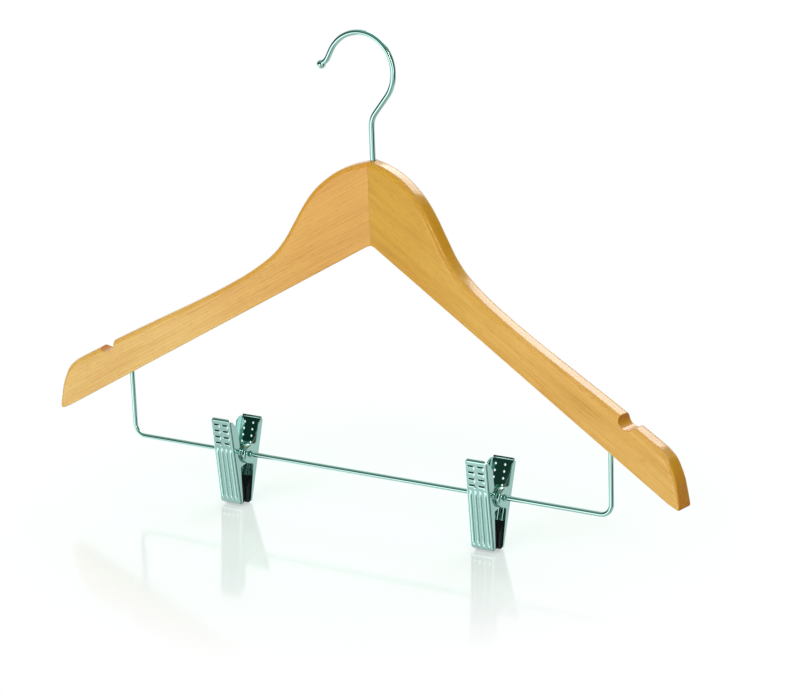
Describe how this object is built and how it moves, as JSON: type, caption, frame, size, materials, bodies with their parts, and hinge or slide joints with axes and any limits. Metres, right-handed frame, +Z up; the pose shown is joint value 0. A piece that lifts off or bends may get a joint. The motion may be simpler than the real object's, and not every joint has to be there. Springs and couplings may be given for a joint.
{
  "type": "wooden clothes hanger",
  "caption": "Contoured wooden clothes hanger with a swivel wire hook, strap notches, a wire trouser bar and sprung steel clips with rubber pads that slide along the bar.",
  "frame": {"origin": "inside of the hook's crown, where the rail carries the hanger", "axes": "+X along the trouser bar to the viewer's right, -Y the front, towards which the arms sweep, +Z up along the hook's shank"},
  "size_m": [0.441, 0.0484, 0.2974],
  "materials": {
    "lacquered_wood": "clear gloss lacquer over golden maple or beech",
    "dowel_wood": "bare wood",
    "chrome_wire": "bright chrome",
    "chrome_sheet": "bright chrome",
    "plain_steel": "drawn steel wire",
    "black_rubber": "matt moulded rubber"
  },
  "bodies": {
    "hook_body": {"hook": "chrome_wire"},
    "hanger": {"left_arm": "lacquered_wood", "right_arm": "lacquered_wood", "joint_dowel_lower": "dowel_wood", "joint_dowel_upper": "dowel_wood", "hook_retaining_pin": "plain_steel", "trouser_bar": "chrome_wire"},
    "left_clip_carrier": {"left_clip_rivet": "chrome_sheet"},
    "left_clip_front": {"left_clip_front_jaw": "chrome_sheet", "left_clip_front_pad": "black_rubber", "left_clip_spring": "plain_steel"},
    "left_clip_rear": {"left_clip_rear_jaw": "chrome_sheet", "left_clip_rear_pad": "black_rubber"},
    "right_clip_carrier": {"right_clip_rivet": "chrome_sheet"},
    "right_clip_front": {"right_clip_front_jaw": "chrome_sheet", "right_clip_front_pad": "black_rubber", "right_clip_spring": "plain_steel"},
    "right_clip_rear": {"right_clip_rear_jaw": "chrome_sheet", "right_clip_rear_pad": "black_rubber"}
  },
  "joints": [
    {"name": "hook_swivel", "type": "hinge", "parent": "hook_body", "child": "hanger", "pos_m": [0.0066, 0, -0.074], "axis": [0, 0, 1], "continuous": true},
    {"name": "left_clip_slide", "type": "slide", "parent": "hanger", "child": "left_clip_carrier", "axis": [1, 0, 0], "range_m": [-0.0585, 0.0795]},
    {"name": "left_clip_swing", "type": "hinge", "parent": "left_clip_carrier", "child": "left_clip_front", "pos_m": [-0.0849, -0.02686, -0.2618], "axis": [1, 0, 0], "continuous": true},
    {"name": "left_clip_open", "type": "hinge", "parent": "left_clip_front", "child": "left_clip_rear", "pos_m": [-0.0849, -0.02686, -0.2618], "axis": [1, 0, 0], "range_deg": [0, 40], "stiffness_Nm_per_rad": 0.04, "springref_deg": -45.84, "deforming": ["left_clip_spring"]},
    {"name": "right_clip_slide", "type": "slide", "parent": "hanger", "child": "right_clip_carrier", "axis": [1, 0, 0], "range_m": [-0.0772, 0.0608]},
    {"name": "right_clip_swing", "type": "hinge", "parent": "right_clip_carrier", "child": "right_clip_front", "pos_m": [0.0958, -0.02686, -0.2618], "axis": [1, 0, 0], "continuous": true},
    {"name": "right_clip_open", "type": "hinge", "parent": "right_clip_front", "child": "right_clip_rear", "pos_m": [0.0958, -0.02686, -0.2618], "axis": [1, 0, 0], "range_deg": [0, 40], "stiffness_Nm_per_rad": 0.04, "springref_deg": -45.84, "deforming": ["right_clip_spring"]}
  ]
}
